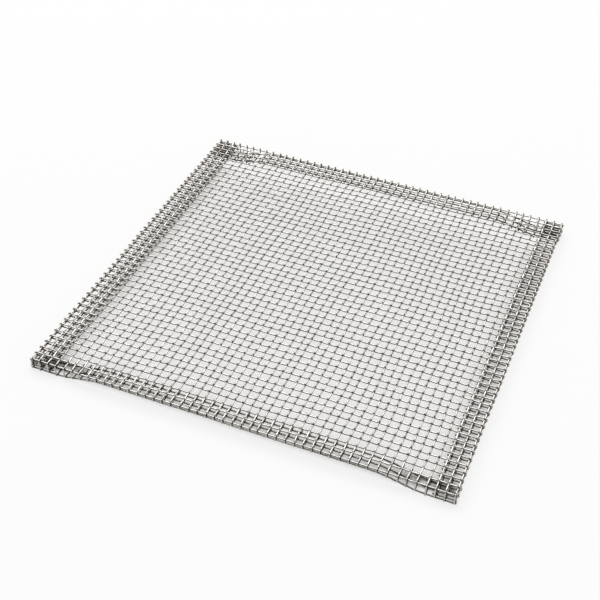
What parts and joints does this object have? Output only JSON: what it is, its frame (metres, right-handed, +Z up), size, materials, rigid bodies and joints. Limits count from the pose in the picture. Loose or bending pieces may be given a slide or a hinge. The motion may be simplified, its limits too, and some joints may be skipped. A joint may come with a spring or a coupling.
{
  "type": "wire gauze",
  "caption": "Flat square of woven steel wire cloth with its edges folded under into hems, which spreads a burner's heat and carries a vessel on a tripod or ring.",
  "frame": {"origin": "centre of the square, on the surface that its corners rest on", "axes": "+X along the weft wires, +Y along the warp wires, +Z up out of the flat side of the cloth"},
  "size_m": [0.125, 0.125, 0.0041],
  "materials": {
    "steel_wire": "drawn wire, satin"
  },
  "bodies": {
    "root": {"warp_wires": "steel_wire", "weft_wires": "steel_wire", "front_hem_wires": "steel_wire", "rear_hem_wires": "steel_wire", "left_hem_wires": "steel_wire", "right_hem_wires": "steel_wire"}
  },
  "joints": []
}
